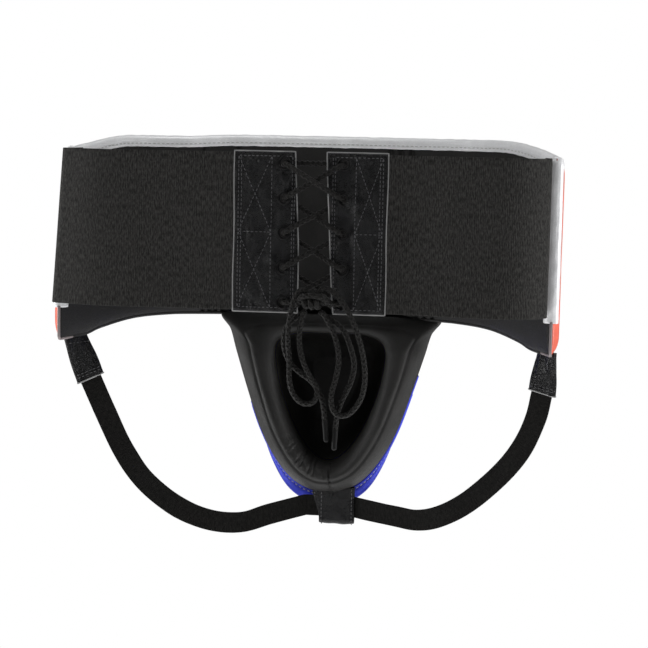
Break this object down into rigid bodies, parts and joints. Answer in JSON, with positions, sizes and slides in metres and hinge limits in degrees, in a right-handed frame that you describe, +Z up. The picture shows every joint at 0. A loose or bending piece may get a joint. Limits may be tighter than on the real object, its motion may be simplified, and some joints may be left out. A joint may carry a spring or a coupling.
{
  "type": "groin protector",
  "caption": "Padded groin protector: a front waist panel with a laced elastic back band, a deep padded cup below it and leg straps through a keeper under the cup.",
  "frame": {"origin": "inside the waist opening, in line with the lacing gap and halfway up the back band", "axes": "+Z up, +Y the way the wearer faces, +X the width, to the right as seen from behind"},
  "size_m": [0.4112, 0.2031, 0.3289],
  "materials": {
    "red_leather": "satin, light grain",
    "black_leather": "glossy, fine grain",
    "silver_leather": "metallic satin",
    "grey_piping": "satin",
    "blue_leather": "satin, light grain",
    "charcoal_elastic": "matt, finely ribbed",
    "black_strap": "matt, fine woven ribs",
    "black_lace": "matt round braid",
    "eyelet_metal": "black lacquer",
    "aglet_plastic": "glossy",
    "foam": "matt closed-cell foam",
    "shell_plastic": "moulded"
  },
  "bodies": {
    "protector": {"panel_foam": "foam", "panel_cover": "red_leather", "panel_lining": "black_leather", "top_binding": "silver_leather", "left_end_binding": "silver_leather", "right_end_binding": "silver_leather", "left_end_piping": "grey_piping", "right_end_piping": "grey_piping", "left_elastic": "charcoal_elastic", "right_elastic": "charcoal_elastic", "threaded_lace": "black_lace", "lace_knot": "black_lace", "rim_pad": "foam", "cup_foam": "foam", "cup_shell": "shell_plastic", "keeper": "black_leather", "keeper_strap": "black_strap", "left_rim_cover": "black_leather", "left_cup_cover": "blue_leather", "left_well_lining": "black_leather", "left_strap_end": "black_strap", "left_strap_tab": "black_leather", "right_rim_cover": "black_leather", "right_cup_cover": "blue_leather", "right_well_lining": "black_leather", "right_strap_end": "black_strap", "right_strap_tab": "black_leather"},
    "left_lace_tab": {"left_tab_outer": "black_leather", "left_tab_core": "charcoal_elastic", "left_tab_backing": "black_leather", "left_eyelets": "eyelet_metal"},
    "right_lace_tab": {"right_tab_outer": "black_leather", "right_tab_core": "charcoal_elastic", "right_tab_backing": "black_leather", "right_eyelets": "eyelet_metal"},
    "left_strap": {"left_leg_strap": "black_strap"},
    "right_strap": {"right_leg_strap": "black_strap"},
    "bow": {"left_bow_loop": "black_lace", "right_bow_loop": "black_lace", "left_bow_tail": "black_lace", "right_bow_tail": "black_lace", "left_aglet": "aglet_plastic", "right_aglet": "aglet_plastic"}
  },
  "joints": [
    {"name": "left_tab_pull", "type": "slide", "parent": "protector", "child": "left_lace_tab", "axis": [1, 0, 0], "range_m": [0, 0.008], "stiffness_N_per_m": 200, "deforming": ["left_elastic", "threaded_lace"]},
    {"name": "right_tab_pull", "type": "slide", "parent": "protector", "child": "right_lace_tab", "axis": [-1, 0, 0], "range_m": [0, 0.008], "stiffness_N_per_m": 200, "deforming": ["right_elastic", "threaded_lace"]},
    {"name": "left_strap_swing", "type": "hinge", "parent": "protector", "child": "left_strap", "pos_m": [-0.0147, 0.037, -0.2326], "axis": [-0.8155, -0.2538, 0.5201], "range_deg": [-25, 25]},
    {"name": "right_strap_swing", "type": "hinge", "parent": "protector", "child": "right_strap", "pos_m": [0.0247, 0.037, -0.2326], "axis": [-0.7676, 0.3074, -0.5624], "range_deg": [-25, 25]},
    {"name": "bow_swing", "type": "hinge", "parent": "protector", "child": "bow", "pos_m": [0.002, -0.0786, -0.052], "axis": [-1, 0, 0], "range_deg": [0, 45]}
  ],
  "couplings": [
    {"joint": "right_tab_pull", "follows": "left_tab_pull", "ratio": 1}
  ]
}
